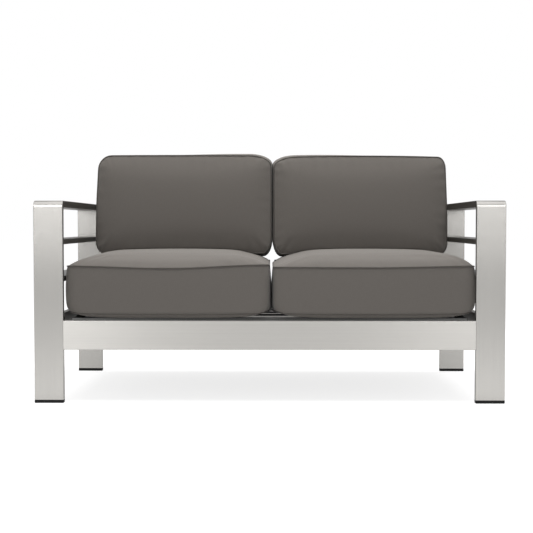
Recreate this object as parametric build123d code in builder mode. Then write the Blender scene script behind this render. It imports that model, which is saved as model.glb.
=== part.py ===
from build123d import *
from math import cos, radians, sin
import os

# Patio loveseat: two hoops of flat brushed tube carry a strapped seat deck, two seat cushions
# and two back cushions. It stands on z = 0, centred on x = 0 and y = 0, with its front at -Y.
# Left and right are as seen from the front, so left is towards -X. All lengths are millimetres.

# Frame: the side rails and the deck stand a little higher than the front and rear seat rails
frame_width = 1416.0
frame_depth = 750.0
arm_height = 610.0
hoop_corner_radius = 20.0
seat_rail_top = 249.0
side_rail_rise = 22.0
deck_rise = 7.0

# Flat tube of the legs, arms and rails, and the thinner one of the slats
flat_width = 88.0
flat_thickness = 20.0
slat_thickness = 16.0
tube_wall = 1.5
tube_edge_radius = 2.0

# Foot cap, with a plug that goes up inside the leg
foot_height = 10.0
foot_edge_chamfer = 1.5
foot_plug_height = 22.0
foot_plug_wall = 2.0
foot_plug_clearance = 0.3

# Seat deck of square tube
deck_tube = 25.0
deck_side_gap = 23.0
deck_end_gap = 3.0
crossbar_width = 25.0
crossbar_height = 20.0
crossbar_offset = 200.0
plug_flange = 2.0
plug_depth = 10.0
plug_clearance = 0.3

# Straps, each with a loop at both ends that goes round a side tube and is sewn back to it
strap_count = 6
strap_width = 50.0
strap_thickness = 2.0
strap_end_clearance = 52.0
strap_seam_length = 34.0

# A bend of small radius is drawn as one flat, which touches the middle of the real curve
bend_cut_share = 0.586

# Corner brackets, welded to the side rails: the front and rear rails and the deck bolt to them
bracket_reach = 60.0
bracket_height = 41.0
bracket_thickness = 3.0
bracket_bend_radius = 5.0
near_bolt_offset = 17.0
far_bolt_offset = 45.0
deck_bolt_offset = 40.0

# Hexagon bolts and rivet nuts, all of the same thread. Shanks and their holes have few sides
bolt_radius = 3.0
bolt_hole_clearance = 0.3
thread_clearance = 0.05
shank_sides = 12
hexagon_sides = 6
hexagon_radius = 5.7
bolt_head_height = 4.0
bracket_bolt_length = 14.0
rivet_nut_length = 12.0
rivet_nut_clearance = 0.05

# Spigots that hold the back rail between the rear legs
spigot_length = 40.0
spigot_clearance = 0.3
spigot_screw_spacing = 18.0
spigot_screw_length = 16.0

# Cushions: fabric covers over foam
cushion_side_gap = 4.0
cushion_middle_gap = 3.0
cushion_rest_gap = 0.3
cover_thickness = 2.0
seat_front_inset = 3.0
seat_rear_gap = 10.0
seat_boxing = 136.0
seat_under_crown = 10.5
seat_under_slope = 60.0
seat_crown = 46.0
back_cushion_height = 348.0
back_boxing = 120.0
back_crown = 24.0
back_lean = 6.0
back_foot_sink = 14.0
cushion_corner_radius = 46.0
foam_corner_radius = 44.0
corner_steps = 4
crown_insets = (0.0, 14.0, 42.0, 104.0)
crown_rise_shares = (0.0, 0.5, 0.84, 1.0)

cut_overrun = 1.0

half_width = frame_width / 2
half_depth = frame_depth / 2
inner_x = half_width - flat_width
inner_y = half_depth - flat_thickness
hoop_centre_x = half_width - flat_width / 2
flat_centre_y = half_depth - flat_thickness / 2
arm_underside = arm_height - flat_thickness
side_rail_top = seat_rail_top + side_rail_rise
rail_length = 2 * inner_x
side_length = 2 * inner_y
deck_top = seat_rail_top + deck_rise
deck_bottom = deck_top - deck_tube
deck_centre_z = deck_top - deck_tube / 2
deck_half_width = inner_x - deck_side_gap
deck_half_depth = inner_y - deck_end_gap
deck_end_y = deck_half_depth - deck_tube / 2
deck_side_x = deck_half_width - deck_tube / 2
deck_side_length = 2 * (deck_half_depth - deck_tube)
strap_top = deck_top + strap_thickness
bend_cut = tube_edge_radius * bend_cut_share

sides = {"left": -1, "right": 1}
ends = {"front": -1, "rear": 1}
corners = [(side, end) for side in sides.values() for end in ends.values()]

os.makedirs("parts", exist_ok=True)


def save(builder, name):
    """Label a finished piece and write it to its own STEP file."""
    builder.part.label = name
    export_step(builder.part, f"parts/{name}.step")


def facing(x, y, z, direction):
    """Place of a hole, bolt or screw on a face, with its Z axis out of that face."""
    return Plane(origin=(x, y, z), z_dir=direction).location


def prism(radius, side_count, low, high):
    """Prism round its own Z axis, from one level to another."""
    with BuildPart() as form:
        with BuildSketch(Plane.XY.offset(low)):
            RegularPolygon(radius, side_count)
        extrude(amount=high - low)
    return form.part


def bolt_hole(depth):
    """Cutter for a bolt's hole, as deep below its face as it stands above it."""
    return prism(bolt_radius + bolt_hole_clearance, shank_sides, -depth, depth)


def thread_hole(depth):
    """Cutter for a threaded hole, as deep below its face as it stands above it."""
    return prism(bolt_radius + thread_clearance, shank_sides, -depth, depth)


# Places where the brackets bolt to the front and rear rails, and to the deck
bolt_row_z = deck_bottom - bracket_thickness - (bracket_height - bracket_thickness) / 2
rail_bolts = {
    (side, end): [
        facing(side * (inner_x - offset), end * inner_y, bolt_row_z, (0, -end, 0))
        for offset in (near_bolt_offset, far_bolt_offset)
    ]
    for side, end in corners
}
deck_bolts = {
    (side, end): facing(side * (inner_x - deck_bolt_offset), end * deck_end_y, deck_bottom, (0, 0, -1))
    for side, end in corners
}


def straight_tube(plane, length, across, up, nut_places=(), bolt_places=(), round_edges=True):
    """Rectangular tube from the plane along its normal, with holes through one wall."""
    with BuildPart() as tube:
        with BuildSketch(plane) as profile:
            Rectangle(across, up)
            if round_edges:
                fillet(profile.vertices(), tube_edge_radius)
            else:
                chamfer(profile.vertices(), bend_cut)
            Rectangle(across - 2 * tube_wall, up - 2 * tube_wall, mode=Mode.SUBTRACT)
        extrude(amount=length)
        hole_depth = tube_wall + cut_overrun
        if nut_places:
            with Locations(*nut_places):
                nut_hole_radius = hexagon_radius + rivet_nut_clearance
                add(prism(nut_hole_radius, hexagon_sides, -hole_depth, hole_depth), mode=Mode.SUBTRACT)
        if bolt_places:
            with Locations(*bolt_places):
                add(bolt_hole(hole_depth), mode=Mode.SUBTRACT)
    return tube


# Side hoops: one outline of flat tube from foot to foot, cut at the mitres into leg, arm and leg
def hoop(side):
    """Hollow hoop on one side of the seat, open at the bottom of its legs."""
    outer_face = Plane.YZ.offset(min(side * inner_x, side * half_width))
    with BuildPart() as tube:
        with BuildSketch(outer_face):
            with BuildLine():
                Polyline(
                    (-half_depth, foot_height), (-half_depth, arm_height),
                    (half_depth, arm_height), (half_depth, foot_height),
                    (inner_y, foot_height), (inner_y, arm_underside),
                    (-inner_y, arm_underside), (-inner_y, foot_height),
                    close=True,
                )
            make_face()
            corners_to_round = vertices().group_by(Axis.Y)[-1]
            fillet(corners_to_round, hoop_corner_radius)
        extrude(amount=flat_width)
        walls = tube.faces().filter_by(Axis.X)
        long_edges = walls.edges().filter_by(lambda edge: edge.center().Z > foot_height)
        fillet(long_edges, tube_edge_radius)
        with BuildSketch(outer_face.offset(tube_wall)):
            with BuildLine():
                Polyline(
                    (tube_wall - half_depth, foot_height - cut_overrun),
                    (tube_wall - half_depth, arm_height - tube_wall),
                    (half_depth - tube_wall, arm_height - tube_wall),
                    (half_depth - tube_wall, foot_height - cut_overrun),
                    (inner_y + tube_wall, foot_height - cut_overrun),
                    (inner_y + tube_wall, arm_underside + tube_wall),
                    (-inner_y - tube_wall, arm_underside + tube_wall),
                    (-inner_y - tube_wall, foot_height - cut_overrun),
                    close=True,
                )
            make_face()
            corners_to_round = vertices().group_by(Axis.Y)[-1]
            fillet(corners_to_round, hoop_corner_radius - tube_wall)
        extrude(amount=flat_width - 2 * tube_wall, mode=Mode.SUBTRACT)
    return tube


front_mitre = Plane(origin=(0, -half_depth, arm_height), z_dir=(0, 1, 1))
rear_mitre = Plane(origin=(0, half_depth, arm_height), z_dir=(0, -1, 1))

# The slats share the height between the side rail and the arm evenly
slat_names = ("upper", "lower")
slat_room = arm_underside - side_rail_top - len(slat_names) * slat_thickness
slat_gap = slat_room / (len(slat_names) + 1)

for side_name, side in sides.items():
    side_hoop = hoop(side).part

    with BuildPart() as front_leg:
        add(side_hoop)
        split(bisect_by=front_mitre, keep=Keep.BOTTOM)
    save(front_leg, f"{side_name}_front_leg")

    with BuildPart() as rear_leg:
        add(side_hoop)
        split(bisect_by=rear_mitre, keep=Keep.BOTTOM)
    save(rear_leg, f"{side_name}_rear_leg")

    with BuildPart() as arm:
        add(side_hoop)
        split(bisect_by=front_mitre, keep=Keep.TOP)
        split(bisect_by=rear_mitre, keep=Keep.TOP)
    save(arm, f"{side_name}_arm")

    slat_top = arm_underside - slat_gap
    for slat_name in slat_names:
        slat_start = Plane(
            origin=(side * hoop_centre_x, -inner_y, slat_top - slat_thickness / 2),
            x_dir=(1, 0, 0), z_dir=(0, 1, 0),
        )
        slat = straight_tube(slat_start, side_length, flat_width, slat_thickness)
        save(slat, f"{side_name}_{slat_name}_slat")
        slat_top -= slat_thickness + slat_gap

    rail_start = Plane(
        origin=(side * (inner_x + flat_thickness / 2), -inner_y, side_rail_top - flat_width / 2),
        x_dir=(1, 0, 0), z_dir=(0, 1, 0),
    )
    side_rail = straight_tube(rail_start, side_length, flat_thickness, flat_width)
    save(side_rail, f"{side_name}_side_rail")


# Front and rear seat rails, on edge between the legs, and the back rail at arm height
for end_name, end in ends.items():
    rail_start = Plane(
        origin=(-inner_x, end * flat_centre_y, seat_rail_top - flat_width / 2),
        x_dir=(0, 1, 0), z_dir=(1, 0, 0),
    )
    nut_places = rail_bolts[(sides["left"], end)] + rail_bolts[(sides["right"], end)]
    seat_rail = straight_tube(rail_start, rail_length, flat_thickness, flat_width, nut_places)
    save(seat_rail, f"{end_name}_seat_rail")

back_rail_z = arm_height - flat_width / 2
spigot_centre_x = inner_x - spigot_length / 2
spigot_screws = [
    facing(side * spigot_centre_x + place, flat_centre_y, arm_height - flat_width, (0, 0, -1))
    for side in sides.values()
    for place in (-spigot_screw_spacing / 2, spigot_screw_spacing / 2)
]
rail_start = Plane(origin=(-inner_x, flat_centre_y, back_rail_z), x_dir=(0, 1, 0), z_dir=(1, 0, 0))
back_rail = straight_tube(rail_start, rail_length, flat_thickness, flat_width, bolt_places=spigot_screws)
save(back_rail, "back_rail")

# Spigots are welded to the edges of the rear legs and fill the open ends of the back rail
spigot_thickness = flat_thickness - 2 * (tube_wall + spigot_clearance)
spigot_height = flat_width - 2 * (tube_wall + spigot_clearance)
with BuildPart() as back_rail_spigots:
    with Locations(*[(side * spigot_centre_x, flat_centre_y, back_rail_z) for side in sides.values()]):
        Box(spigot_length, spigot_thickness, spigot_height)
    with Locations(*spigot_screws):
        add(thread_hole(spigot_screw_length + cut_overrun), mode=Mode.SUBTRACT)
save(back_rail_spigots, "back_rail_spigots")


# Feet: a cap under each leg, the size of the tube, with a hollow plug inside it
plug_width = flat_width - 2 * (tube_wall + foot_plug_clearance)
plug_thickness = flat_thickness - 2 * (tube_wall + foot_plug_clearance)
for side_name, side in sides.items():
    for end_name, end in ends.items():
        floor_place = Plane.XY.move(Location((side * hoop_centre_x, end * flat_centre_y)))
        with BuildPart() as foot:
            with BuildSketch(floor_place) as cap:
                Rectangle(flat_width, flat_thickness)
                chamfer(cap.vertices(), bend_cut)
            extrude(amount=foot_height)
            chamfer(foot.edges().group_by(Axis.Z)[0], foot_edge_chamfer)
            with BuildSketch(floor_place.offset(foot_height)):
                Rectangle(plug_width, plug_thickness)
                Rectangle(
                    plug_width - 2 * foot_plug_wall, plug_thickness - 2 * foot_plug_wall,
                    mode=Mode.SUBTRACT,
                )
            extrude(amount=foot_plug_height)
        save(foot, f"{side_name}_{end_name}_foot")


# Corner brackets: two upright flanges and a shelf on which a corner of the deck rests
for side_name, side in sides.items():
    for end_name, end in ends.items():
        corner_x = side * (inner_x - bracket_reach / 2)
        corner_y = end * (inner_y - bracket_reach / 2)
        bracket_mid_z = deck_bottom - bracket_height / 2
        with BuildPart() as bracket:
            with Locations((corner_x, corner_y, bracket_mid_z)):
                Box(bracket_reach, bracket_reach, bracket_height)
            inner_corner = bracket.edges().filter_by(Axis.Z).sort_by(
                lambda edge: side * edge.center().X + end * edge.center().Y
            )[0]
            chamfer(inner_corner, bracket_reach - bracket_thickness - bracket_bend_radius)
            inside = (-side * bracket_thickness, -end * bracket_thickness, -bracket_thickness)
            with Locations((corner_x + inside[0], corner_y + inside[1], bracket_mid_z + inside[2])):
                Box(bracket_reach, bracket_reach, bracket_height, mode=Mode.SUBTRACT)
            with Locations(*rail_bolts[(side, end)], deck_bolts[(side, end)]):
                add(bolt_hole(bracket_thickness + cut_overrun), mode=Mode.SUBTRACT)
        save(bracket, f"{side_name}_{end_name}_bracket")


# Seat deck: a ring of square tube, with two crossbars bolted underneath it
for end_name, end in ends.items():
    tube_start = Plane(
        origin=(-deck_half_width, end * deck_end_y, deck_centre_z), x_dir=(0, 1, 0), z_dir=(1, 0, 0)
    )
    nut_places = [deck_bolts[(side, end)] for side in sides.values()]
    crossbar_places = [
        facing(side * crossbar_offset, end * deck_end_y, z, (0, 0, 1))
        for side in sides.values()
        for z in (deck_bottom, deck_top)
    ]
    deck_end = straight_tube(
        tube_start, 2 * deck_half_width, deck_tube, deck_tube, nut_places, crossbar_places,
        round_edges=False,
    )
    save(deck_end, f"deck_{end_name}_tube")

for side_name, side in sides.items():
    tube_start = Plane(
        origin=(side * deck_side_x, -deck_side_length / 2, deck_centre_z),
        x_dir=(1, 0, 0), z_dir=(0, 1, 0),
    )
    side_tube = straight_tube(tube_start, deck_side_length, deck_tube, deck_tube, round_edges=False)
    save(side_tube, f"deck_{side_name}_tube")

    bar_start = Plane(
        origin=(side * crossbar_offset, -deck_half_depth, deck_bottom - crossbar_height / 2),
        x_dir=(1, 0, 0), z_dir=(0, 1, 0),
    )
    nut_places = [
        facing(side * crossbar_offset, end * deck_end_y, deck_bottom, (0, 0, 1)) for end in ends.values()
    ]
    crossbar = straight_tube(
        bar_start, 2 * deck_half_depth, crossbar_width, crossbar_height, nut_places, round_edges=False
    )
    save(crossbar, f"deck_{side_name}_crossbar")

plug_inside = deck_tube - 2 * (tube_wall + plug_clearance)
with BuildPart() as deck_end_plugs:
    for side, end in corners:
        tube_mouth = Plane(
            origin=(side * deck_half_width, end * deck_end_y, deck_centre_z), z_dir=(side, 0, 0)
        )
        with BuildSketch(tube_mouth) as flange:
            Rectangle(deck_tube, deck_tube)
            chamfer(flange.vertices(), bend_cut)
        extrude(amount=plug_flange)
        with BuildSketch(tube_mouth):
            Rectangle(plug_inside, plug_inside)
        extrude(amount=-plug_depth)
save(deck_end_plugs, "deck_end_plugs")


# Straps: a flat run over the deck, with a loop round each side tube and its tail sewn underneath
strap_pitch = (deck_side_length - strap_width - 2 * strap_end_clearance) / (strap_count - 1)
loop_width = deck_tube + 2 * strap_thickness
seam_start = deck_half_width - deck_tube - 2 * strap_thickness
for i in range(strap_count):
    strap_y = (i - (strap_count - 1) / 2) * strap_pitch
    with BuildPart() as strap:
        with BuildSketch(Plane.XZ.offset(-strap_y - strap_width / 2)) as band:
            for side in sides.values():
                with Locations((side * deck_side_x, deck_centre_z)):
                    Rectangle(loop_width, loop_width)
            chamfer(band.vertices(), (tube_edge_radius + strap_thickness) * bend_cut_share)
            with Locations((0, deck_top + strap_thickness / 2)):
                Rectangle(2 * deck_side_x, strap_thickness)
            with BuildSketch(mode=Mode.SUBTRACT) as tube_space:
                with Locations(*[(side * deck_side_x, deck_centre_z) for side in sides.values()]):
                    Rectangle(deck_tube, deck_tube)
                chamfer(tube_space.vertices(), bend_cut)
            with Locations(*[
                (side * (seam_start - strap_seam_length / 2), deck_top) for side in sides.values()
            ]):
                Rectangle(strap_seam_length + 2 * strap_thickness, 2 * strap_thickness)
        extrude(amount=strap_width)
    save(strap, f"seat_strap_{i + 1}")


# Fasteners: the Z axis of each form points out of its head or mouth
def hexagon_bolt(length):
    """Bolt with a hexagon head on its XY plane and a plain shank below it."""
    with BuildPart() as bolt:
        add(prism(hexagon_radius, hexagon_sides, 0, bolt_head_height))
        add(prism(bolt_radius, shank_sides, -length, 0))
    return bolt.part


with BuildPart() as rivet_nut:
    add(prism(hexagon_radius, hexagon_sides, -rivet_nut_length, 0))
    add(thread_hole(rivet_nut_length + cut_overrun), mode=Mode.SUBTRACT)

bracket_bolt_places = [place for corner in corners for place in (*rail_bolts[corner], deck_bolts[corner])]
onto_bracket = Location((0, 0, bracket_thickness))
with BuildPart() as bracket_bolts:
    with Locations(*[place * onto_bracket for place in bracket_bolt_places]):
        add(hexagon_bolt(bracket_bolt_length))
save(bracket_bolts, "bracket_bolts")

with BuildPart() as rivet_nuts:
    with Locations(*bracket_bolt_places):
        add(rivet_nut.part)
save(rivet_nuts, "rivet_nuts")

with BuildPart() as back_rail_screws:
    with Locations(*spigot_screws):
        add(hexagon_bolt(spigot_screw_length))
save(back_rail_screws, "back_rail_screws")

crossbar_bolt_places = [(side * crossbar_offset, end * deck_end_y, deck_top) for side, end in corners]
with BuildPart() as crossbar_bolts:
    with Locations(*crossbar_bolt_places):
        add(hexagon_bolt(deck_tube + rivet_nut_length))
save(crossbar_bolts, "crossbar_bolts")

with BuildPart() as crossbar_nuts:
    with Locations(*[(x, y, z - deck_tube) for x, y, z in crossbar_bolt_places]):
        add(rivet_nut.part)
save(crossbar_nuts, "crossbar_nuts")


# Cushions: boxed cushions with a crowned panel on each face and rounded plan corners
def plan(width, length, corner_radius):
    """Rectangle whose corners follow a quarter circle in short straight steps."""
    outline = []
    for quarter, (x_sign, y_sign) in enumerate(((1, 1), (-1, 1), (-1, -1), (1, -1))):
        centre_x = x_sign * (width / 2 - corner_radius)
        centre_y = y_sign * (length / 2 - corner_radius)
        for step in range(corner_steps + 1):
            angle = radians(90) * (quarter + step / corner_steps)
            outline.append((centre_x + corner_radius * cos(angle), centre_y + corner_radius * sin(angle)))
    return outline


def section(span, levels):
    """Outline of a cushion cut across: its right side goes up the levels, and its left side down."""
    right = [(span / 2 - inset, height) for height, inset in levels]
    left = [(-x, height) for x, height in reversed(right)]
    return right + left


def crowned_form(width, length, corner_radius, levels):
    """Closed form over its own XY plane: what its plan and its two sections have in common."""
    low, high = levels[0][0], levels[-1][0]
    with BuildPart() as form:
        with BuildSketch(Plane.XY.offset(low)):
            with BuildLine():
                Polyline(*plan(width, length, corner_radius), close=True)
            make_face()
        extrude(amount=high - low)
        for plane, span, reach in ((Plane.XZ, width, length), (Plane.YZ, length, width)):
            with BuildSketch(plane):
                with BuildLine():
                    Polyline(*section(span, levels), close=True)
                make_face()
            extrude(amount=reach, both=True, mode=Mode.INTERSECT)
    return form.part


def crown_levels(edge, rise):
    """Levels of a crowned panel, from its sewn edge to its flat middle, which lies a rise away."""
    return [(edge + rise * share, inset) for inset, share in zip(crown_insets, crown_rise_shares)]


seat_cushion_depth = half_depth + inner_y - seat_front_inset - seat_rear_gap
seat_centre_y = seat_front_inset - half_depth + seat_cushion_depth / 2
seat_edge_z = strap_top + cushion_rest_gap + seat_under_crown
seat_crown_z = seat_edge_z + seat_boxing + seat_crown
cushion_width = inner_x - cushion_side_gap - cushion_middle_gap / 2
cushion_centre_x = (cushion_middle_gap + cushion_width) / 2
foam_width = cushion_width - 2 * cover_thickness
lean = radians(back_lean)
back_foot_z = seat_crown_z - back_foot_sink
back_rise = (back_foot_z - arm_height - (back_boxing + back_crown) * sin(lean)) / cos(lean)

seat_levels = [(-seat_under_crown, seat_under_slope), (0, 0), *crown_levels(seat_boxing, seat_crown)]
seat_foam_levels = [
    (cover_thickness - seat_under_crown, seat_under_slope), (cover_thickness, 0),
    *crown_levels(seat_boxing - cover_thickness, seat_crown),
]
back_levels = [*crown_levels(0, -back_crown)[::-1], *crown_levels(back_boxing, back_crown)]
back_foam_levels = [
    *crown_levels(cover_thickness, -back_crown)[::-1],
    *crown_levels(back_boxing - cover_thickness, back_crown),
]

for side_name, side in sides.items():
    seat_place = Location((side * cushion_centre_x, seat_centre_y, seat_edge_z))
    with BuildPart() as seat_foam:
        with Locations(seat_place):
            add(crowned_form(
                foam_width, seat_cushion_depth - 2 * cover_thickness, foam_corner_radius, seat_foam_levels
            ))
    save(seat_foam, f"{side_name}_seat_foam")

    with BuildPart() as seat_body:
        with Locations(seat_place):
            add(crowned_form(cushion_width, seat_cushion_depth, cushion_corner_radius, seat_levels))

    with BuildPart() as seat_cover:
        add(seat_body.part)
        add(seat_foam.part, mode=Mode.SUBTRACT)
    save(seat_cover, f"{side_name}_seat_cover")

    # The back cushion leans on the top edge of the back rail, and stands on the seat's crown
    rail_edge = Plane(
        origin=(side * cushion_centre_x, inner_y - cushion_rest_gap, arm_height),
        x_dir=(1, 0, 0), z_dir=(0, -1, 0),
    ).rotated((-back_lean, 0, 0))
    back_place = rail_edge.location * Location((0, back_rise + back_cushion_height / 2, back_crown))
    with BuildPart() as back_foam:
        with Locations(back_place):
            add(crowned_form(
                foam_width, back_cushion_height - 2 * cover_thickness, foam_corner_radius, back_foam_levels
            ))
        with Locations((0, 0, cushion_rest_gap + cover_thickness)):
            add(seat_body.part, mode=Mode.SUBTRACT)
    save(back_foam, f"{side_name}_back_foam")

    with BuildPart() as back_cover:
        with Locations(back_place):
            add(crowned_form(cushion_width, back_cushion_height, cushion_corner_radius, back_levels))
        with Locations((0, 0, cushion_rest_gap)):
            add(seat_body.part, mode=Mode.SUBTRACT)
        add(back_foam.part, mode=Mode.SUBTRACT)
    save(back_cover, f"{side_name}_back_cover")
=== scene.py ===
import math

import bpy
import numpy as np
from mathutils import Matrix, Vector

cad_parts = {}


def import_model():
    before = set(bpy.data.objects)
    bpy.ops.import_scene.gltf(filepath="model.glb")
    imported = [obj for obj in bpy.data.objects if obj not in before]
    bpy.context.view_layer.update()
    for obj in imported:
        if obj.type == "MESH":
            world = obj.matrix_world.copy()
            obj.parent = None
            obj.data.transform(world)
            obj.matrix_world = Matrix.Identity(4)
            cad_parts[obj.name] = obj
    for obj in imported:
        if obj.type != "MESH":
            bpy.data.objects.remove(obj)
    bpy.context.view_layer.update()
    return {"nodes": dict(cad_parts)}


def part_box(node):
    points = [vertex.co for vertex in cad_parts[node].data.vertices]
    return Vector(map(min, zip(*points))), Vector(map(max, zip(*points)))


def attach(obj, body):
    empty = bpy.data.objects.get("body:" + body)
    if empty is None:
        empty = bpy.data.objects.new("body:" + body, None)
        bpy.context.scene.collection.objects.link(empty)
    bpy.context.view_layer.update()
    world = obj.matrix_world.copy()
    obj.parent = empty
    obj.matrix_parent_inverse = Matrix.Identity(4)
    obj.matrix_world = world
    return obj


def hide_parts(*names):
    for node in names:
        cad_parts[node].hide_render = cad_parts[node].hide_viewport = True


# Patio loveseat in brushed flat tube, with four boxed and piped cushions. Lengths are metres.
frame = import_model()
nodes = frame["nodes"]
MM = 0.001
SIDES = {"left": -1, "right": 1}
CLOTH_SLOT = "grey_fabric"

# The photograph's view; angles in degrees, lens and sensor in millimetres
CAMERA_PLACE = (26.7 * MM, -3651 * MM, 537.8 * MM)
CAMERA_PITCH_DOWN = 2.19
CAMERA_YAW_LEFT = 0.609
LENS = 73.9
SENSOR = 36.0
VIEW_REACH = 60

# Colours, linear
FABRIC_COLOUR = (0.150, 0.137, 0.124)
# The backs' cloth is painted darker than the seats': painted shade, for the light that the backs
# get less of than the seats' fronts
BACK_PAINTED_SHADE_COLOUR = (0.136, 0.124, 0.112)
PIPING_COLOUR = (0.088, 0.080, 0.072)
ALUMINIUM_COLOUR = (0.388, 0.378, 0.361)
# The deck's aluminium is painted darker than the frame's: painted shade, for the shadow that the
# cushions cast on the deck
DECK_PAINTED_SHADE_COLOUR = (0.10, 0.10, 0.098)
WEBBING_COLOUR = (0.018, 0.018, 0.019)
PLASTIC_COLOUR = (0.008, 0.008, 0.008)
STEEL_COLOUR = (0.40, 0.40, 0.39)
BLACK_STEEL_COLOUR = (0.030, 0.030, 0.031)
WHITE = (1, 1, 1, 1)

# Patterns: sizes in metres, and noise as features to the metre
THREAD = 0.9 * MM
SLUBS_PER_METRE = 60
SLUB_STRETCH = 14
SCRATCHES_PER_METRE = 2200
BANDS_PER_METRE = 260
GRAIN_SQUEEZE = 0.008
SCRATCH_DEPTH = 0.08 * MM
WEAVE_DEPTH = 0.12 * MM
PIPING_WEAVE_DEPTH = 0.1 * MM
STRAP_RIB = 2.2 * MM
STRAP_CORD = 2.5 * MM
STRAP_DEPTH = 0.3 * MM
PORE_DEPTH = 0.1 * MM

# Roughness from the smoothest to the roughest band, by the axis that the grain runs along
TUBE_ROUGHNESS = {"X": (0.36, 0.44), "Y": (0.36, 0.44), "Z": (0.22, 0.29)}
DECK_ROUGHNESS = {"X": (0.38, 0.5), "Y": (0.38, 0.5)}


# Node trees
def link(tree, output, target):
    tree.links.new(output, target)


def node(tree, kind, **settings):
    made = tree.nodes.new(kind)
    for name, value in settings.items():
        setattr(made, name, value)
    return made


def math_node(tree, operation, *values):
    """A Math node whose inputs are sockets or numbers; gives its output."""
    made = node(tree, "ShaderNodeMath", operation=operation)
    for socket, value in zip(made.inputs, values):
        if isinstance(value, (int, float)):
            socket.default_value = value
        else:
            link(tree, value, socket)
    return made.outputs[0]


def mapped(tree, value, low, high):
    """A value from 0 to 1 carried to the range from low to high."""
    made = node(tree, "ShaderNodeMapRange")
    link(tree, value, made.inputs["Value"])
    made.inputs["To Min"].default_value = low
    made.inputs["To Max"].default_value = high
    return made.outputs["Result"]


def noise(tree, vector, scale, detail, stretch=(1, 1, 1)):
    """Noise of a scale per metre, stretched along the axes by a Mapping node."""
    placed = node(tree, "ShaderNodeMapping")
    placed.inputs["Scale"].default_value = stretch
    link(tree, vector, placed.inputs["Vector"])
    made = node(tree, "ShaderNodeTexNoise")
    made.inputs["Scale"].default_value = scale
    made.inputs["Detail"].default_value = detail
    link(tree, placed.outputs[0], made.inputs["Vector"])
    return made.outputs["Fac"]


def object_place(tree):
    return node(tree, "ShaderNodeTexCoord").outputs["Object"]


def new_group(name, inputs, outputs):
    group = bpy.data.node_groups.new(name, "ShaderNodeTree")
    for socket_name, kind in inputs:
        group.interface.new_socket(socket_name, in_out="INPUT", socket_type=kind)
    for socket_name, kind in outputs:
        group.interface.new_socket(socket_name, in_out="OUTPUT", socket_type=kind)
    return group, group.nodes.new("NodeGroupInput"), group.nodes.new("NodeGroupOutput")


def weave_group():
    """Plain weave on a map in metres. The threads each way stand as high as the size of a sine,
    and sink to half of that where the product of both sines lays the others over them. Slubs are
    the mean of two noises, each stretched along one way of the threads."""
    tree, given, result = new_group(
        "plain weave",
        [("Vector", "NodeSocketVector"), ("Thread", "NodeSocketFloat")],
        [("Height", "NodeSocketFloat"), ("Slub", "NodeSocketFloat")],
    )
    vector = given.outputs["Vector"]
    axes = node(tree, "ShaderNodeSeparateXYZ")
    link(tree, vector, axes.inputs[0])
    waves = []
    for axis in ("X", "Y"):
        turns = math_node(tree, "DIVIDE", axes.outputs[axis], given.outputs["Thread"])
        waves.append(math_node(tree, "SINE", math_node(tree, "MULTIPLY", turns, math.pi)))
    over = math_node(tree, "MULTIPLY", *waves)
    heights = []
    for wave, (under_height, over_height) in zip(waves, ((0.5, 1), (1, 0.5))):
        share = mapped(tree, over, under_height, over_height)
        heights.append(math_node(tree, "MULTIPLY", math_node(tree, "ABSOLUTE", wave), share))
    link(tree, math_node(tree, "MAXIMUM", *heights), result.inputs["Height"])
    along = noise(tree, vector, SLUBS_PER_METRE, 2, (1, SLUB_STRETCH, 1))
    across = noise(tree, vector, SLUBS_PER_METRE, 2, (SLUB_STRETCH, 1, 1))
    both = math_node(tree, "ADD", along, across)
    link(tree, math_node(tree, "MULTIPLY", both, 0.5), result.inputs["Slub"])
    return tree


def grain_group():
    """Fine scratches and broader bands, both noise; the vector comes squeezed along the grain."""
    tree, given, result = new_group(
        "brushed grain",
        [("Vector", "NodeSocketVector")],
        [("Scratch", "NodeSocketFloat"), ("Band", "NodeSocketFloat")],
    )
    vector = given.outputs["Vector"]
    link(tree, noise(tree, vector, SCRATCHES_PER_METRE, 2), result.inputs["Scratch"])
    link(tree, noise(tree, vector, BANDS_PER_METRE, 3), result.inputs["Band"])
    return tree


WEAVE = weave_group()
GRAIN = grain_group()


# Materials
def new_material(name, base, roughness, metallic=0.0, **constants):
    """A material, its tree and its shader. Constants are the shader's own values, and an
    underscore stands for a space in their names."""
    material = bpy.data.materials.new(name)
    material.use_nodes = True
    shader = material.node_tree.nodes["Principled BSDF"]
    shader.inputs["Base Color"].default_value = (*base, 1)
    shader.inputs["Roughness"].default_value = roughness
    shader.inputs["Metallic"].default_value = metallic
    for socket_name, value in constants.items():
        shader.inputs[socket_name.replace("_", " ")].default_value = value
    return material, material.node_tree, shader


def tint(tree, shader, base, mask, dark, light):
    """Gives the shader the base colour times a factor that a mask carries from dark to light."""
    mixed = node(tree, "ShaderNodeMix", data_type="RGBA", blend_type="MULTIPLY")
    mixed.inputs[0].default_value = 1
    mixed.inputs[6].default_value = (*base, 1)
    grey = node(tree, "ShaderNodeCombineColor")
    factor = mapped(tree, mask, dark, light)
    for channel in grey.inputs:
        link(tree, factor, channel)
    link(tree, grey.outputs[0], mixed.inputs[7])
    link(tree, mixed.outputs[2], shader.inputs["Base Color"])


def roughen(tree, shader, mask, low, high):
    link(tree, mapped(tree, mask, low, high), shader.inputs["Roughness"])


def bump(tree, shader, height, strength, depth):
    made = node(tree, "ShaderNodeBump")
    made.inputs["Strength"].default_value = strength
    made.inputs["Distance"].default_value = depth
    link(tree, height, made.inputs["Height"])
    link(tree, made.outputs[0], shader.inputs["Normal"])


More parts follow.
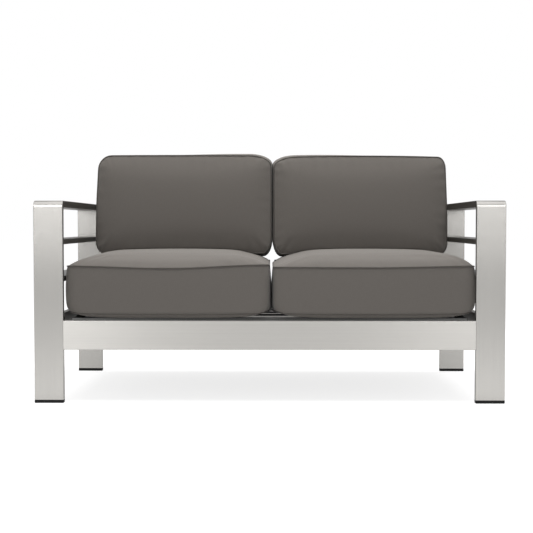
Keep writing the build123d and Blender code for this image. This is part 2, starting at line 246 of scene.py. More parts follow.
def brushed_aluminium(name, base, grain_axis, roughness, grazing):
    """Satin aluminium. Object coordinates squeezed along the grain's axis draw its noise out into
    scratches and bands, and a tangent that runs round that axis spreads the gloss across them.
    Grazing is how much of the metal's edge reflection is left."""
    material, tree, shader = new_material(
        name, base, 0.4, 1.0, Anisotropic=0.8, Specular_Tint=(grazing, grazing, grazing, 1))
    placed = node(tree, "ShaderNodeMapping")
    placed.inputs["Scale"].default_value = [
        GRAIN_SQUEEZE if axis == grain_axis else 1 for axis in "XYZ"]
    link(tree, object_place(tree), placed.inputs["Vector"])
    grain = node(tree, "ShaderNodeGroup", node_tree=GRAIN)
    link(tree, placed.outputs[0], grain.inputs["Vector"])
    streaks = math_node(tree, "ADD", grain.outputs["Scratch"], grain.outputs["Band"])
    tint(tree, shader, base, math_node(tree, "MULTIPLY", streaks, 0.5), 0.88, 1.12)
    roughen(tree, shader, grain.outputs["Band"], *roughness)
    around = node(tree, "ShaderNodeTangent", direction_type="RADIAL", axis=grain_axis)
    link(tree, around.outputs[0], shader.inputs["Tangent"])
    bump(tree, shader, grain.outputs["Scratch"], 1.0, SCRATCH_DEPTH)
    return material


def fabric(name, base, weave_depth):
    """Woven outdoor cloth, tinted and raised by its threads and slubs."""
    material, tree, shader = new_material(
        name, base, 0.92, Sheen_Weight=0.15, Sheen_Roughness=0.5, Specular_IOR_Level=0.25)
    weave = node(tree, "ShaderNodeGroup", node_tree=WEAVE)
    weave.inputs["Thread"].default_value = THREAD
    link(tree, node(tree, "ShaderNodeUVMap", uv_map="cloth").outputs[0], weave.inputs["Vector"])
    threads = math_node(tree, "MULTIPLY", weave.outputs["Height"], 0.35)
    slubs = math_node(tree, "MULTIPLY", weave.outputs["Slub"], 0.65)
    tint(tree, shader, base, math_node(tree, "ADD", threads, slubs), 0.78, 1.22)
    bump(tree, shader, weave.outputs["Height"], 0.5, weave_depth)
    return material


def webbing():
    """Black strap webbing: ribs across it times cords along it, both sines."""
    material, tree, shader = new_material("black webbing", WEBBING_COLOUR, 0.7)
    axes = node(tree, "ShaderNodeSeparateXYZ")
    link(tree, object_place(tree), axes.inputs[0])
    sines = []
    for axis, pitch in (("X", STRAP_RIB), ("Y", STRAP_CORD)):
        turns = math_node(tree, "MULTIPLY", axes.outputs[axis], 2 * math.pi / pitch)
        sines.append(math_node(tree, "SINE", turns))
    height = mapped(tree, math_node(tree, "MULTIPLY", *sines), 0.5, 1)
    tint(tree, shader, WEBBING_COLOUR, height, 0.7, 1.4)
    bump(tree, shader, height, 0.6, STRAP_DEPTH)
    return material


def moulded_plastic():
    """Black plastic with fine pores and cloudy gloss."""
    material, tree, shader = new_material(
        "black plastic", PLASTIC_COLOUR, 0.45, Specular_IOR_Level=0.15)
    place = object_place(tree)
    roughen(tree, shader, noise(tree, place, 40, 3), 0.36, 0.56)
    tint(tree, shader, PLASTIC_COLOUR, noise(tree, place, 30, 3), 0.8, 1.3)
    bump(tree, shader, noise(tree, place, 1500, 2), 0.2, PORE_DEPTH)
    return material


def plated_steel(name, base, roughness, metallic):
    """Plated fasteners with a cloudy stain."""
    material, tree, shader = new_material(name, base, roughness, metallic)
    place = object_place(tree)
    stain = noise(tree, place, 220, 4)
    tint(tree, shader, base, stain, 0.8, 1.2)
    roughen(tree, shader, stain, roughness - 0.08, roughness + 0.1)
    bump(tree, shader, noise(tree, place, 900, 2), 0.15, PORE_DEPTH)
    return material


ALUMINIUM = {
    axis: brushed_aluminium(f"brushed aluminium along {axis}", ALUMINIUM_COLOUR, axis, rough, 0.5)
    for axis, rough in TUBE_ROUGHNESS.items()
}
# Painted shade: the deck's metal is darker and keeps none of its edge reflection, standing for the
# cushions' shadow over it
PAINTED_SHADE_DECK_METAL = {
    axis: brushed_aluminium(f"deck aluminium in painted shade along {axis}", DECK_PAINTED_SHADE_COLOUR, axis, rough, 0)
    for axis, rough in DECK_ROUGHNESS.items()
}
FABRIC = fabric("taupe fabric", FABRIC_COLOUR, WEAVE_DEPTH)
# Painted shade: the seats' cloth, darker for the back cushions
BACK_CLOTH_PAINTED_SHADE = fabric("taupe fabric of the backs in painted shade", BACK_PAINTED_SHADE_COLOUR, WEAVE_DEPTH)
PIPING = fabric("taupe piping", PIPING_COLOUR, PIPING_WEAVE_DEPTH)
WEBBING = webbing()
PLASTIC = moulded_plastic()
BRIGHT_STEEL = plated_steel("zinc plated steel", STEEL_COLOUR, 0.35, 1.0)
BLACK_STEEL = plated_steel("black plated steel", BLACK_STEEL_COLOUR, 0.45, 0.6)


def finish_of(name):
    """The finish of each piece that keeps its own shape; the grain runs along each tube."""
    if name.endswith("_leg"):
        return ALUMINIUM["Z"]
    if name.endswith(("_arm", "_slat", "_side_rail")):
        return ALUMINIUM["Y"]
    if name.endswith("_seat_rail") or name == "back_rail":
        return ALUMINIUM["X"]
    # The deck's pieces take the darker metal of painted shade
    if name in ("deck_front_tube", "deck_rear_tube"):
        return PAINTED_SHADE_DECK_METAL["X"]
    if name.startswith("deck_") and name.endswith(("_tube", "_crossbar")):
        return PAINTED_SHADE_DECK_METAL["Y"]
    if name.endswith("_bracket") or name == "back_rail_spigots":
        return PAINTED_SHADE_DECK_METAL["X"]
    if name.startswith("seat_strap"):
        return WEBBING
    if name.endswith("_foot") or name == "deck_end_plugs":
        return PLASTIC
    if name in ("rivet_nuts", "crossbar_nuts"):
        return BRIGHT_STEEL
    return BLACK_STEEL


for name, piece in nodes.items():
    piece.data.materials.clear()
    piece.data.materials.append(finish_of(name))


# Meshes
def new_piece(name, vertices, faces, uvs, material, body, slot):
    """An object at the origin from arrays of vertices and faces, with a cloth map in metres."""
    mesh = bpy.data.meshes.new(name)
    mesh.from_pydata(vertices.tolist(), [], faces.tolist())
    layer = mesh.uv_layers.new(name="cloth")
    layer.data.foreach_set("uv", uvs.astype(np.float32).ravel())
    mesh.polygons.foreach_set("use_smooth", np.ones(len(mesh.polygons), bool))
    mesh.materials.append(material)
    mesh.update()
    made = bpy.data.objects.new(name, mesh)
    bpy.context.scene.collection.objects.link(made)
    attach(made, body)
    return made


def points_of(piece):
    found = np.empty(len(piece.data.vertices) * 3, np.float32)
    piece.data.vertices.foreach_get("co", found)
    return found.reshape(-1, 3).astype(float)


def put_points(piece, points):
    piece.data.vertices.foreach_set("co", points.astype(np.float32).ravel())
    piece.data.update()


def lengths_along(path):
    """Distance of each point of a path from its first one, along the path."""
    return np.concatenate([[0], np.cumsum(np.linalg.norm(np.diff(path, axis=0), axis=1))])


def closed(path):
    return np.concatenate([path, path[:1]])


def unit(vectors):
    return vectors / np.linalg.norm(vectors, axis=1, keepdims=True)


def quads_between(low_left, low_right, high_right, high_left):
    return np.stack([low_left, low_right, high_right, high_left], axis=-1).reshape(-1, 4)


def quad_uvs(across, up, i, j):
    """The map of quads that lie between two rows of lines, from line i to the next across and from
    line j to the next up."""
    corners = [np.stack([across[i + di], up[j + dj]], axis=-1)
               for di, dj in ((0, 0), (1, 0), (1, 1), (0, 1))]
    return np.stack(corners, axis=2).reshape(-1, 4, 2)


def loop_tube(path, radius, sides):
    """Tube along a closed path: a circle of points round each path point, square to the path,
    from the direction away from the path's middle and the one at right angles to it."""
    ahead = unit(np.roll(path, -1, axis=0) - np.roll(path, 1, axis=0))
    outward = path - path.mean(axis=0)
    outward = unit(outward - (outward * ahead).sum(axis=1, keepdims=True) * ahead)
    upward = np.cross(ahead, outward)
    angle = np.linspace(0, 2 * np.pi, sides, endpoint=False)[None, :, None]
    rings = (path[:, None] + radius * np.cos(angle) * outward[:, None]
             + radius * np.sin(angle) * upward[:, None])
    count = len(path)
    point = np.arange(count * sides).reshape(count, sides)
    ahead_point = np.roll(point, -1, axis=0)
    quads = quads_between(
        point, ahead_point, np.roll(ahead_point, -1, axis=1), np.roll(point, -1, axis=1))
    row, column = np.meshgrid(np.arange(count), np.arange(sides), indexing="ij")
    around = np.arange(sides + 1) * 2 * np.pi * radius / sides
    return rings.reshape(-1, 3), quads, quad_uvs(lengths_along(closed(path)), around, row, column)


# Cushions
PIPING_RADIUS = 2.6 * MM
PIPING_SIDES = 8
CELL = 9 * MM
# Puckers: how far they reach in from a seam, how far from it they are whole, of how many sines,
# and about what those add up to
PUCKER_REACH = 16 * MM
PUCKER_EASE = 5 * MM
PUCKER_WAVES = 5
PUCKER_PEAK = 2.2
EDGE_CLIMB = 4 * MM
INFLATION_CAP = 5 * MM
INFLATION_FRAMES = 20
CLOTH = {
    "quality": 5, "mass": 0.3, "tension_stiffness": 15, "compression_stiffness": 15,
    "shear_stiffness": 5, "bending_stiffness": 0.5, "use_pressure": True,
    "uniform_pressure_force": 4.0, "pin_stiffness": 1,
}
TINY = 1e-9


def ramp(value, start, end):
    """Smooth step from 0 at the start to 1 at the end, level at both: t squared times 3 - 2t."""
    value = np.clip((value - start) / (end - start), 0, 1)
    return value * value * (3 - 2 * value)


def nearing(gap, reach):
    """Climbs from 0 towards 1 with distance: one minus an exponential."""
    return 1 - np.exp(-gap / reach)


def facing(side, normal):
    """How far an edge's normals face the loveseat's middle, and how far they face away from it."""
    return np.clip(-side * normal[..., 0], 0, 1), np.clip(side * normal[..., 0], 0, 1)


class Cushion:
    """A boxed cushion in its own axes: x across, y along and z through it, from seam to seam.

    A plan grid is carried to a rectangle with elliptic corners. The two panels stand off the
    seams by a crown each, and the boxing runs from the lower seam to the upper one with a bulge
    in between. The corners' radii come in turn, round from the corner at low x and low y."""

    def __init__(self, width, length, boxing, corners):
        self.half = np.array([width / 2, length / 2])
        self.boxing = boxing
        self.corners = np.array(corners)
        self.columns = 2 * int(width / CELL / 2) + 1
        self.rows = 2 * int(length / CELL / 2) + 1
        self.levels = int(boxing / CELL)
        u, v = np.meshgrid(self.spread(self.columns), self.spread(self.rows))
        self.share = np.stack([u, v], -1).reshape(-1, 2)
        self.plan = self.round_corners(self.share)
        self.grid = np.arange(self.rows * self.columns).reshape(self.rows, self.columns)
        self.ring = np.concatenate([
            self.grid[0, :-1], self.grid[:-1, -1], self.grid[-1, :0:-1], self.grid[:0:-1, 0]])

    @staticmethod
    def spread(count):
        """Points from -1 to 1 that a cubic sets closer at the ends than in the middle."""
        even = np.linspace(-1, 1, count)
        return even * (1.25 - 0.25 * even ** 2)

    def round_corners(self, share):
        """The square's points on the plan. On the edge, a corner's points move to its ellipse, and
        inside it they follow by the eighth power of their nearness to the edge."""
        reach = np.maximum(abs(share).max(axis=-1, keepdims=True), TINY)
        edge = share / reach * self.half
        right, rear = share[:, 0] > 0, share[:, 1] > 0
        radii = self.corners[np.where(rear, np.where(right, 2, 3), np.where(right, 1, 0))]
        centre = np.sign(share) * (self.half - radii)
        offset = (edge - centre) / radii
        in_corner = (offset * np.sign(share) > 0).all(axis=-1, keepdims=True)
        distance = np.maximum(np.linalg.norm(offset, axis=-1, keepdims=True), TINY)
        arc = centre + offset / distance * radii
        return share * self.half + np.where(in_corner, arc - edge, 0) * reach ** 8

    @staticmethod
    def depth(plan, edge):
        """Distance of each plan point from the nearest point of the edge."""
        return np.sqrt(((plan[:, None] - edge[None]) ** 2).sum(axis=-1).min(axis=1))

    def build(self, top_crown, bottom_crown, bulge, lower_plan=None, ease=None):
        """Vertices, faces, cloth map and the number of points in a panel. The boxing goes over
        from the lower seam's plan to the upper one's evenly, or with an ease by one minus an
        exponential."""
        upper = self.plan
        lower = upper if lower_plan is None else lower_plan
        ring, count = self.ring, len(upper)
        edge, lower_edge = upper[ring], lower[ring]
        top = np.column_stack([upper, self.boxing + top_crown(upper, self.depth(upper, edge))])
        bottom = np.column_stack([lower, -bottom_crown(lower, self.depth(lower, lower_edge))])
        tangent = np.roll(edge, -1, axis=0) - np.roll(edge, 1, axis=0)
        normal = unit(np.column_stack([tangent[:, 1], -tangent[:, 0]]))
        share = (np.arange(1, self.levels) / self.levels)[:, None]
        climb = share if ease is None else nearing(share, ease) / (1 - math.exp(-1 / ease))
        out = bulge(edge[None], normal[None], share)
        band = lower_edge[None] + (edge - lower_edge)[None] * climb[..., None]
        band = band + normal[None] * out[..., None]
        rise = top[ring, 2][None] * share + bottom[ring, 2][None] * (1 - share)
        band = np.concatenate([band, rise[..., None]], axis=-1).reshape(-1, 3)
        vertices = np.concatenate([top, bottom, band])

        grid = self.grid
        panel = quads_between(grid[:-1, :-1], grid[:-1, 1:], grid[1:, 1:], grid[1:, :-1])
        inside = 2 * count + np.arange(len(band)).reshape(-1, len(ring))
        lines = np.concatenate([[ring + count], inside, [ring]])
        after = np.roll(lines, -1, axis=1)
        walls = quads_between(lines[:-1], after[:-1], after[1:], lines[1:])
        faces = np.concatenate([panel, panel[:, ::-1] + count, walls])
        level = np.arange(self.levels + 1) * self.boxing / self.levels
        row, column = np.meshgrid(np.arange(self.levels), np.arange(len(ring)), indexing="ij")
        wall_uvs = quad_uvs(lengths_along(closed(edge)), level, column, row)
        uvs = np.concatenate([upper[panel], upper[panel[:, ::-1]], wall_uvs])
        return vertices, faces, uvs, count

    def puckers(self, height, pitch, seed):
        """Small pulls across a seam: a few sines along the edge, fading by an exponential of the
        distance from it, and none on the seam itself."""
        dice = np.random.default_rng(seed)
        edge = self.plan[self.ring]
        nearest = ((self.plan[:, None] - edge[None]) ** 2).sum(axis=-1).argmin(axis=1)
        place = lengths_along(edge)[nearest]
        depth = self.depth(self.plan, edge)
        stretches = dice.uniform(0.6, 2.2, PUCKER_WAVES)
        phases = dice.uniform(0, 2 * np.pi, PUCKER_WAVES)
        waves = sum(np.sin(2 * np.pi * place / (pitch * stretch) + phase)
                    * np.exp(-depth / (PUCKER_REACH * stretch))
                    for stretch, phase in zip(stretches, phases))
        return height / PUCKER_PEAK * waves * ramp(depth, 0, PUCKER_EASE)


def crown(rise, reaches, flat_share):
    """A panel's height over its seam: a little of a broad dome, and mostly a climb from the edges,
    the product of one minus an exponential of the distance from each. The reaches are for the low
    and the high end of x and of y."""
    def height(plan, depth):
        low, high = plan.min(axis=0), plan.max(axis=0)
        centred = (2 * plan - low - high) / (high - low)
        dome = (1 - centred[:, 0] ** 2) * (1 - centred[:, 1] ** 2)
        gaps = (plan[:, 0] - low[0], high[0] - plan[:, 0],
                plan[:, 1] - low[1], high[1] - plan[:, 1])
        climb = nearing(depth, EDGE_CLIMB)
        for gap, reach in zip(gaps, reaches):
            climb = climb * nearing(gap, reach)
        return rise * (flat_share * climb + (1 - flat_share) * dome)
    return height


def inflate(piece, held_points):
    """Cloth under pressure, with all but the insides of its two panels held. A hyperbolic tangent
    eases each move off, so that none is longer than the cap."""
    rest = points_of(piece)
    held = piece.vertex_groups.new(name="seams")
    held.add([int(i) for i in held_points], 1.0, "REPLACE")
    cloth = piece.modifiers.new("cloth", "CLOTH")
    for name, value in CLOTH.items():
        setattr(cloth.settings, name, value)
    cloth.settings.effector_weights.gravity = 0
    cloth.settings.vertex_group_mass = "seams"
    cloth.point_cache.frame_start = 1
    cloth.point_cache.frame_end = INFLATION_FRAMES
    scene = bpy.context.scene
    for step in range(1, INFLATION_FRAMES + 1):
        scene.frame_set(step)
    evaluated = piece.evaluated_get(bpy.context.evaluated_depsgraph_get())
    moved = np.empty(len(rest) * 3, np.float32)
    evaluated.data.vertices.foreach_get("co", moved)
    shift = moved.reshape(-1, 3) - rest
    length = np.maximum(np.linalg.norm(shift, axis=1, keepdims=True), TINY)
    piece.modifiers.remove(cloth)
    piece.vertex_groups.remove(held)
    scene.frame_set(1)
    put_points(piece, rest + shift / length * INFLATION_CAP * np.tanh(length / INFLATION_CAP))


def make_cushion(name, vertices, faces, uvs, material, form, count):
    """The cushion's object, inflated; gives it and its points."""
    piece = new_piece(name, vertices, faces, uvs, material, name, CLOTH_SLOT)
    boxing = np.arange(2 * count, len(vertices))
    inflate(piece, np.concatenate([form.ring, form.ring + count, boxing]))
    return piece, points_of(piece)


def finish_cushion(piece, seams, body):
    """Piping along both seams of a cushion, and the last smoothing of all three surfaces."""
    pieces = [piece]
    for seam_name, path in zip(("first", "second"), seams):
        tube = loop_tube(path, PIPING_RADIUS, PIPING_SIDES)
        pieces.append(
            new_piece(f"{body}_{seam_name}_piping", *tube, PIPING, body, CLOTH_SLOT))
    for smoothed in pieces:
        modifier = smoothed.modifiers.new("smooth", "SUBSURF")
        modifier.levels = 1
        modifier.render_levels = 1


# Seat cushions
SEAT_LOW, SEAT_HIGH = (Vector(corner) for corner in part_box("left_seat_cover"))
SEAT_END_ROOM = 3 * MM
SEAT_BOXING = 138 * MM
SEAT_SEAM_Z = 270.6 * MM
# The corners' radii, across and along
SEAT_OUTER_CORNER = (44 * MM, 40 * MM)
SEAT_INNER_CORNER = (30 * MM, 30 * MM)
# Where the two cushions meet at the front, how far that line turns to the left on its way to the
# back, as the camera looks, and the gap that each leaves to it at the seam
SEAT_FRONT_MEETING_X = 6.3 * MM
SEAT_MEETING_TURN = -4.9 * MM
SEAT_GAP_AT_SEAM = 5.8 * MM
# What the lower seam is drawn in by: at the outer side, at the inner side, there at the front
# as well, and at the ends
LOWER_OUTER_INSET = 9 * MM
LOWER_INNER_INSET = 2 * MM
LOWER_FRONT_INSET = 14 * MM
LOWER_END_INSET = 0.5 * MM
BOXING_EASE = 0.045
SEAT_CROWN = 43 * MM
SEAT_FLAT_SHARE = 0.78
SEAT_REACH = 20 * MM
# The underside: its fall at the front seam, its full depth, and the lift of its front corners
LOWER_SEAM_SAG = 4 * MM
UNDERSIDE_DEPTH = 18.4 * MM
UNDERSIDE_REACH = 4 * MM
LOWER_CORNER_LIFT = 5 * MM
# What the underside stays above, over the deck and in front of it
DECK_CLEAR_Z = 258.4 * MM
DECK_FRONT_Y = -352 * MM
DECK_FRONT_ROUND = 6 * MM
BELLY_Z = 252.2 * MM
# How far the inner side stands out at the upper seam, and how much further where it has closed
# the slot, at the front corner and behind it, and the share of the boxing that it closes over
SLOT_FRONT_BULGE = (0.4 * MM, 0.6 * MM)
SLOT_BULGE = (0.6 * MM, 5.3 * MM)
SLOT_CLOSING_SHARE = 0.48
# The same for the outer side, at the top and further down
SEAT_OUTER_BULGE = (4.6 * MM, 1.6 * MM)
SEAT_END_BULGE = 3.5 * MM
SEAT_PUCKER = 1.1 * MM
SEAT_PUCKER_PITCH = 45 * MM
SEAT_SEED = 11
# By side: where the outer side stands, what the inner side draws in behind so that it can pass
# the other back cushion, the height of the front seam's middle and ends, and how gently the panel
# climbs from the front of the outer side and from the inner side
SEATS = {
    "left": {
        "outer": 614 * MM, "rear_inset": 0, "middle_lift": -2.4 * MM, "outer_lift": 4.6 * MM,
        "inner_lift": 8.4 * MM, "outer_reach": 28 * MM, "inner_reach": 38 * MM,
    },
    "right": {
        "outer": 620 * MM, "rear_inset": 7 * MM, "middle_lift": 0, "outer_lift": 4.5 * MM,
        "inner_lift": 1 * MM, "outer_reach": 18 * MM, "inner_reach": 45 * MM,
    },
}


def seat_cushion(side_name, side):
    """A seat cushion: it tucks in above the deck, hangs over its front edge, and leaves a slot that
    narrows downwards between it and the other one. Gives the points of its top panel."""
    shape = SEATS[side_name]
    inner, outer = SEAT_FRONT_MEETING_X + side * SEAT_GAP_AT_SEAM, side * shape["outer"]
    middle_x, width = (outer + inner) / 2, abs(outer - inner)
    middle_y = (SEAT_HIGH.y + SEAT_LOW.y) / 2
    length = SEAT_HIGH.y - SEAT_LOW.y - SEAT_END_ROOM
    front_corners = [SEAT_OUTER_CORNER, SEAT_INNER_CORNER][::-side]
    form = Cushion(width, length, SEAT_BOXING, front_corners + front_corners[::-1])
    half_x, half_y = form.half
    u, v = form.share.T
    run = (v + 1) / 2
    turn = SEAT_MEETING_TURN * run + side * shape["rear_inset"] * ramp(run, 0.6, 0.82)
    form.plan[:, 0] += turn * ramp(side * u, 1, -1)
    inner_inset = LOWER_INNER_INSET + LOWER_FRONT_INSET * ramp(run, 0.12, 0)
    inset = np.where(side * u > 0, LOWER_OUTER_INSET, inner_inset)
    lower = form.plan - np.column_stack([inset * u, LOWER_END_INSET * v])

    def hang(plan, depth):
        """The underside falls from its seam by one minus an exponential, less towards the sides by
        a power of the distance from the middle, and its front seam sags and lifts with it."""
        across = abs(plan[:, 0]) / half_x
        front = ramp(-plan[:, 1] / half_y, 0.6, 1)
        sag = LOWER_SEAM_SAG * (1 - across ** 3)
        fall = (UNDERSIDE_DEPTH * (1 - across ** 3.3) - sag) * nearing(depth, UNDERSIDE_REACH)
        return fall + front * (sag - LOWER_CORNER_LIFT * ramp(across, 0.85, 1))

    def bulge(edge, normal, share):
        """The inner side stands out further downwards and behind the front corner, and the outer
        side and the ends by powers of an arch, four times the share by what is left of it."""
        inward, outward = facing(side, normal)
        arch = 4 * share * (1 - share)
        closing = np.minimum(1, (1 - share) / SLOT_CLOSING_SHARE)
        at_front, behind = (start + further * closing
                            for start, further in (SLOT_FRONT_BULGE, SLOT_BULGE))
        way = np.clip((edge[..., 1] / half_y + 1) / 2, 0, 1)
        past_corner = ramp(way, 0.03, 0.18) * ramp(way, 1, 0.9)
        at_top, lower_down = SEAT_OUTER_BULGE
        return (inward * (at_front + (behind - at_front) * past_corner)
                + outward * (at_top + lower_down * (1 - share)) * arch ** 0.7
                + abs(normal[..., 1]) * SEAT_END_BULGE * arch * (0.4 + 0.6 * share))

    outer_reach = SEAT_REACH + (shape["outer_reach"] - SEAT_REACH) * ramp(run, 0.55, 0)
    reaches = [outer_reach, shape["inner_reach"]][::-side] + [SEAT_REACH, SEAT_REACH]
    vertices, faces, uvs, count = form.build(
        crown(SEAT_CROWN, reaches, SEAT_FLAT_SHARE), hang, bulge, lower, BOXING_EASE)
    x, y, z = vertices.T
    at_end = np.where(side * x > 0, shape["outer_lift"], shape["inner_lift"])
    middle_lift = shape["middle_lift"]
    lift = middle_lift + np.sin(np.pi * x / (2 * half_x)) ** 2 * (at_end - middle_lift)
    vertices[:, 2] += lift * ramp(-y / half_y, 0.75, 1) * np.clip(z / SEAT_BOXING, 0, 1) ** 2
    vertices[:count, 2] += form.puckers(SEAT_PUCKER, SEAT_PUCKER_PITCH, SEAT_SEED + side)
    vertices += np.array([middle_x, middle_y, SEAT_SEAM_Z])
    name = f"{side_name}_seat_cushion"
    piece, settled = make_cushion(name, vertices, faces, uvs, FABRIC, form, count)
    in_front = ramp(settled[:, 1], DECK_FRONT_Y, DECK_FRONT_Y - DECK_FRONT_ROUND)
    lowest = DECK_CLEAR_Z - (DECK_CLEAR_Z - BELLY_Z) * in_front
    settled[:, 2] = np.maximum(settled[:, 2], lowest)
    put_points(piece, settled)
    finish_cushion(piece, (settled[form.ring], settled[form.ring + count]), name)
    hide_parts(f"{side_name}_seat_cover", f"{side_name}_seat_foam")
    return settled[:count]


# Back cushions
BACK_LEAN = math.radians(6)
ACROSS = np.array([1, 0, 0])
BACK_UP = np.array([0, math.sin(BACK_LEAN), math.cos(BACK_LEAN)])
BACK_OUT = np.array([0, -math.cos(BACK_LEAN), math.sin(BACK_LEAN)])
# The back rail's upper front edge, and how far the lower seam stands off it
BACK_REST = np.array([0, 354.7 * MM, 610 * MM])
BACK_REST_GAP = 24 * MM
BACK_BOXING = 120 * MM
BACK_LENGTH = 346 * MM
BACK_TOP_ROOM = 2 * MM
BACK_CROWN = 18 * MM
BACK_FLAT_SHARE = 0.75
BACK_REACHES = (15 * MM, 15 * MM, 18 * MM, 26 * MM)
# Where the two faces meet, how far that line turns to the right behind, and the room that each
# side leaves to it
BACK_MEETING_X = 5.0 * MM
BACK_MEETING_TURN = 2.2 * MM
BACK_MEETING_GAP = 0.2 * MM
BACK_OUTER_BULGE = 2.5 * MM
BACK_TOP_BULGE = 3.5 * MM
BACK_TOP_INNER_BULGE = 10 * MM
BACK_FOOT_BULGE = 3 * MM
BACK_PUCKER = 1.2 * MM
BACK_PUCKER_PITCH = 30 * MM
BACK_SEED = 23
# Up to how far over the seat's top points are kept off it, and the room that the cushion and its
# piping keep. The least square, in square metres, keeps the weight of a point just below finite.
NEAR_SEAT = 20 * MM
SEAT_ROOM = 0.6 * MM
PIPING_ROOM = 0.4 * MM
LEAST_SQUARE = 1e-8
# By side: outer side, top, the top edge's fall to its ends, the outer side's slant, how far the
# inner side stands out, and the corners' radii across and up
BACKS = {
    "left": {
        "outer": -613.5 * MM, "top": 784 * MM, "dome": 1 * MM, "slant": 6 * MM,
        "inner_bulge": 3.5 * MM, "low_outer": (28 * MM, 45 * MM), "low_inner": (30 * MM, 62 * MM),
        "top_inner": (78 * MM, 36 * MM), "top_outer": (46 * MM, 48 * MM),
    },
    "right": {
        "outer": 619 * MM, "top": 781.5 * MM, "dome": 5 * MM, "slant": 4 * MM,
        "inner_bulge": 7.5 * MM, "low_outer": (26 * MM, 42 * MM), "low_inner": (30 * MM, 62 * MM),
        "top_inner": (78 * MM, 33 * MM), "top_outer": (25 * MM, 40 * MM),
    },
}
CORNER_ORDER = {
    "left": ("low_outer", "low_inner", "top_inner", "top_outer"),
    "right": ("low_inner", "low_outer", "top_outer", "top_inner"),
}


def rested(points, seat_top, room):
    """Points raised to stay over the seat's top, with room. Its height under a point is the mean
    of its four nearest points in plan, each weighted by one over its distance squared."""
    low = points[:, 2] < seat_top[:, 2].max() + NEAR_SEAT
    squares = ((points[low][:, None, :2] - seat_top[None, :, :2]) ** 2).sum(axis=-1)
    nearest = np.argpartition(squares, 4, axis=1)[:, :4]
    weight = 1 / (np.take_along_axis(squares, nearest, axis=1) + LEAST_SQUARE)
    under = (seat_top[nearest, 2] * weight).sum(axis=1) / weight.sum(axis=1)
    raised = points.copy()
    raised[low, 2] = np.maximum(points[low, 2], under + room)
    return raised


def back_cushion(side_name, side, seat_top):
    """A back cushion, leaning on the back rail and flattened where it stands on the seat cushion.
    The top panel of its own axes is its face, and y runs up it."""
    shape = BACKS[side_name]
    inner = BACK_MEETING_X + side * (shape["inner_bulge"] + BACK_MEETING_GAP)
    outer = shape["outer"]
    middle_x, width = (outer + inner) / 2, abs(outer - inner)
    corners = [shape[corner] for corner in CORNER_ORDER[side_name]]
    form = Cushion(width, BACK_LENGTH, BACK_BOXING, corners)
    half_x, half_y = form.half
    u, v = form.share.T
    form.plan[:, 0] -= side * shape["slant"] * ramp(v, -0.2, 1) * ramp(side * u, -1, 1)
    form.plan[:, 1] -= shape["dome"] * u ** 2 * ramp(v, -1, 1)

    def bulge(edge, normal, share):
        """Powers of an arch, four times the share by what is left of it: flat on the inner side,
        round elsewhere, and highest at the top near the other cushion."""
        inward, outward = facing(side, normal)
        upward, downward = np.clip(normal[..., 1], 0, 1), np.clip(-normal[..., 1], 0, 1)
        near_meeting = ramp(side * edge[..., 0] / half_x, 5 / 7, -5 / 7)
        arch = 4 * share * (1 - share)
        flat_arch = np.minimum(1, 1.15 * arch ** 0.4)
        return (flat_arch * inward * shape["inner_bulge"]
                + arch ** 0.6 * (outward * BACK_OUTER_BULGE
                                 + upward * (BACK_TOP_BULGE + BACK_TOP_INNER_BULGE * near_meeting)
                                 + downward * BACK_FOOT_BULGE))

    panel = crown(BACK_CROWN, BACK_REACHES, BACK_FLAT_SHARE)
    vertices, faces, uvs, count = form.build(panel, panel, bulge)
    vertices[:count, 2] += form.puckers(BACK_PUCKER, BACK_PUCKER_PITCH, BACK_SEED + side)
    x, y, z = vertices.T
    foot = BACK_REST + BACK_OUT * BACK_REST_GAP
    rise = (shape["top"] - foot[2] - BACK_OUT[2] * BACK_BOXING) / BACK_UP[2]
    origin = foot + BACK_UP * (rise - half_y - BACK_TOP_ROOM)
    across = x + middle_x + BACK_MEETING_TURN * (1 - z / BACK_BOXING)
    placed = origin + across[:, None] * ACROSS + y[:, None] * BACK_UP + z[:, None] * BACK_OUT
    name = f"{side_name}_back_cushion"
    piece, settled = make_cushion(name, placed, faces, uvs, BACK_CLOTH_PAINTED_SHADE, form, count)
    settled = rested(settled, seat_top, SEAT_ROOM)
    put_points(piece, settled)
    seams = [rested(settled[ring], seat_top, PIPING_RADIUS + PIPING_ROOM)
             for ring in (form.ring, form.ring + count)]
    finish_cushion(piece, seams, name)
    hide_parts(f"{side_name}_back_cover", f"{side_name}_back_foam")


for side_name, side in SIDES.items():
    back_cushion(side_name, side, seat_cushion(side_name, side))


# Floor, light and camera
FLOOR_HALF = 30
FLOOR_GLOW = 0.775
FLOOR_SHADE_SEEN = 0.665
FLOOR_SHADE = 0.85
AMBIENT = 0.36
SEAT_MIDDLE = (0, 0, 0.4)
# Name, place, target, width, height and power of each lamp, whether it shows in gloss, and whether
# it lights matt surfaces. The cards only show in gloss, and give the brushed tube its bright and
# dim places.
LAMPS = (
    ("overhead", (0, -0.15, 2.6), SEAT_MIDDLE, 3.0, 2.4, 85, False, True),
    ("left_front", (-1.2, -3.2, 1.5), (-0.58, -0.3, 0.6), 0.35, 1.8, 4, True, True),
    ("right_front", (1.2, -3.2, 1.5), (0.58, -0.3, 0.6), 0.35, 1.8, 4, True, True),
    ("left_card", (-1.32, -3.1, 1.36), (-0.58, -0.3, 0.4), 0.4, 2.08, 8.3, True, False),
    ("left_high_card", (-1.32, -3.0, 2.1), (-0.58, -0.3, 0.4), 0.4, 1.6, 16, True, False),
    ("right_card", (1.2, -3.1, 1.36), (0.58, -0.3, 0.4), 0.5, 2.08, 6.1, True, False),
    ("right_high_card", (1.2, -3.0, 2.1), (0.58, -0.3, 0.4), 0.5, 1.6, 8, True, False),
    ("overhead_card", (0, -0.2, 2.58), SEAT_MIDDLE, 3.0, 2.4, 24, True, False),
)


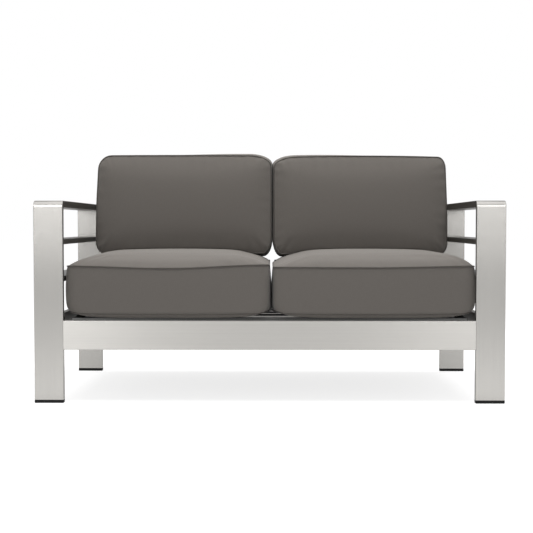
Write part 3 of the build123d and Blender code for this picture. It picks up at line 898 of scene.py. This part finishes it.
def seen_rays(tree):
    """1 for what the camera sees, also in gloss and through glass, and 0 for other rays."""
    rays = node(tree, "ShaderNodeLightPath")
    seen = math_node(tree, "MAXIMUM", rays.outputs["Is Camera Ray"], rays.outputs["Is Glossy Ray"])
    return math_node(tree, "MAXIMUM", seen, rays.outputs["Is Transmission Ray"])


def floor():
    """Pale floor that shows white where nothing shades it: a glow and a lit part add up."""
    material = bpy.data.materials.new("studio floor")
    material.use_nodes = True
    tree = material.node_tree
    tree.nodes.remove(tree.nodes["Principled BSDF"])
    diffuse = node(tree, "ShaderNodeBsdfDiffuse")
    glow = node(tree, "ShaderNodeEmission")
    glow.inputs["Color"].default_value = WHITE
    seen = seen_rays(tree)
    link(tree, math_node(tree, "MULTIPLY", seen, FLOOR_GLOW), glow.inputs["Strength"])
    shade = node(tree, "ShaderNodeCombineColor")
    grey = mapped(tree, seen, FLOOR_SHADE, FLOOR_SHADE_SEEN)
    for channel in shade.inputs:
        link(tree, grey, channel)
    link(tree, shade.outputs[0], diffuse.inputs["Color"])
    both = node(tree, "ShaderNodeAddShader")
    link(tree, diffuse.outputs[0], both.inputs[0])
    link(tree, glow.outputs[0], both.inputs[1])
    link(tree, both.outputs[0], tree.nodes["Material Output"].inputs["Surface"])
    mesh = bpy.data.meshes.new("studio_floor")
    signs = ((-1, -1), (1, -1), (1, 1), (-1, 1))
    mesh.from_pydata([(x * FLOOR_HALF, y * FLOOR_HALF, 0) for x, y in signs], [], [(0, 1, 2, 3)])
    mesh.materials.append(material)
    made = bpy.data.objects.new("studio_floor", mesh)
    bpy.context.scene.collection.objects.link(made)


def world():
    """Even ambient light; the view and the reflections see it as white."""
    made = bpy.data.worlds.new("studio")
    made.use_nodes = True
    tree = made.node_tree
    background = tree.nodes["Background"]
    background.inputs["Color"].default_value = WHITE
    link(tree, mapped(tree, seen_rays(tree), AMBIENT, 1), background.inputs["Strength"])
    bpy.context.scene.world = made


def area_light(name, place, target, width, height, power, glossy, matt):
    lamp = bpy.data.lights.new(name, "AREA")
    lamp.shape = "RECTANGLE"
    lamp.size, lamp.size_y = width, height
    lamp.energy = power
    made = bpy.data.objects.new(name, lamp)
    made.location = place
    direction = Vector(target) - Vector(place)
    made.rotation_euler = direction.to_track_quat("-Z", "Y").to_euler()
    made.visible_camera = False
    made.visible_glossy = glossy
    made.visible_diffuse = matt
    bpy.context.scene.collection.objects.link(made)


def camera():
    lens = bpy.data.cameras.new("photo_view")
    lens.lens = LENS
    lens.sensor_width = SENSOR
    lens.clip_end = VIEW_REACH
    made = bpy.data.objects.new("photo_view", lens)
    made.location = CAMERA_PLACE
    pitch, yaw = math.radians(90 - CAMERA_PITCH_DOWN), math.radians(CAMERA_YAW_LEFT)
    made.rotation_euler = (pitch, 0, yaw)
    bpy.context.scene.collection.objects.link(made)
    bpy.context.scene.camera = made


floor()
world()
for lamp in LAMPS:
    area_light(*lamp)
camera()
bpy.context.scene.view_settings.view_transform = "Standard"
